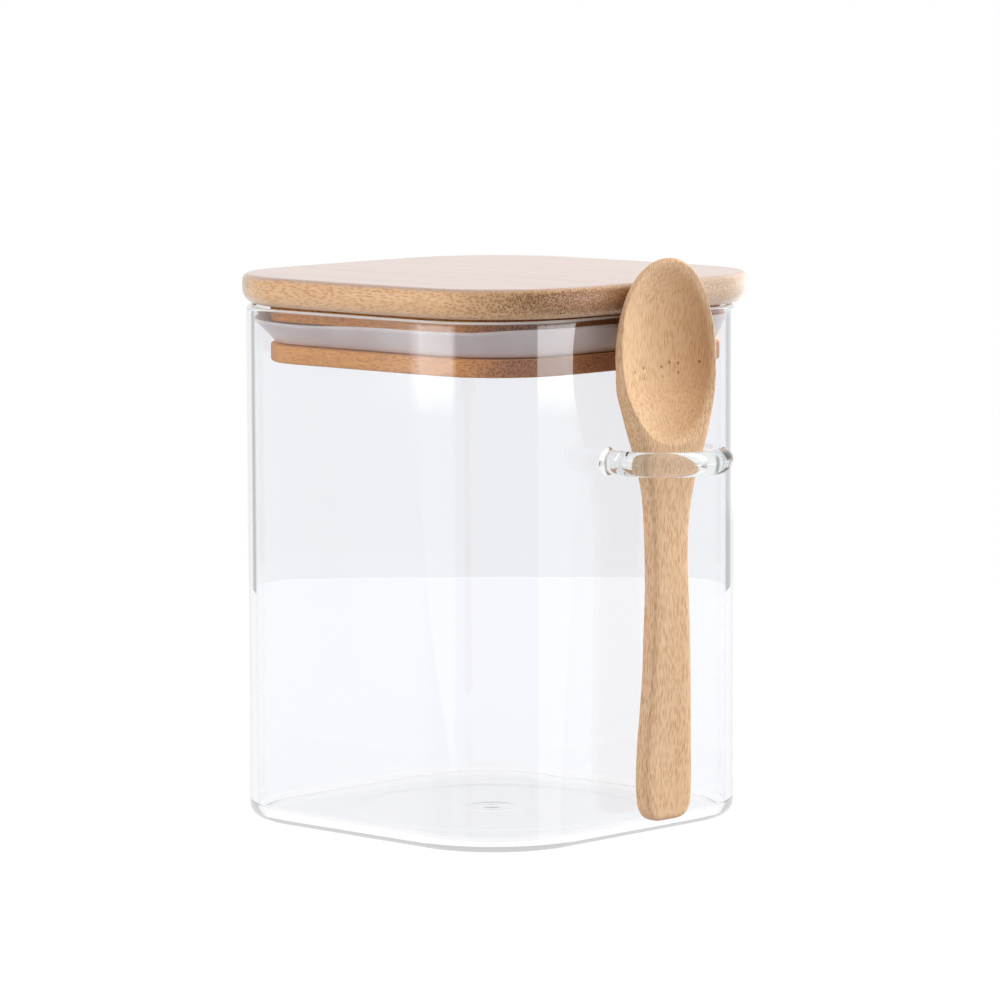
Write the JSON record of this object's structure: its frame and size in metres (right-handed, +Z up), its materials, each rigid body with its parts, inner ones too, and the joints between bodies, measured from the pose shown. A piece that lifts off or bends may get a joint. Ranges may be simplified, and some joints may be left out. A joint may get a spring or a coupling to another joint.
{
  "type": "square glass storage jar with spoon",
  "caption": "Square clear glass storage jar with a push-in bamboo lid on a silicone seal, and a bamboo spoon that hangs in a glass loop on the front wall.",
  "frame": {"origin": "centre of the jar's square base, on the plane it stands on", "axes": "+Z up, X and Y along the jar's sides, the loop and the spoon on the front wall towards -Y"},
  "size_m": [0.106, 0.1259, 0.1404],
  "materials": {
    "clear_glass": "clear, polished",
    "loop_glass": "clear, flame polished rod",
    "board_bamboo": "satin lacquered bamboo, end grain on the front",
    "plug_bamboo": "plain darker bamboo",
    "silicone": "translucent grey-white silicone, satin",
    "spoon_bamboo": "plain sanded bamboo"
  },
  "bodies": {
    "jar": {"jar_body": "clear_glass", "spoon_loop": "loop_glass"},
    "lid": {"lid_board": "board_bamboo", "lid_plug": "plug_bamboo", "seal_ring": "silicone"},
    "spoon": {"spoon": "spoon_bamboo"}
  },
  "joints": [
    {"name": "lid_lift", "type": "slide", "parent": "jar", "child": "lid", "axis": [0, 0, 1], "range_m": [0, 0.12]},
    {"name": "spoon_lift", "type": "slide", "parent": "jar", "child": "spoon", "axis": [0, -0.0499, 0.9988], "range_m": [0, 0.095]}
  ]
}
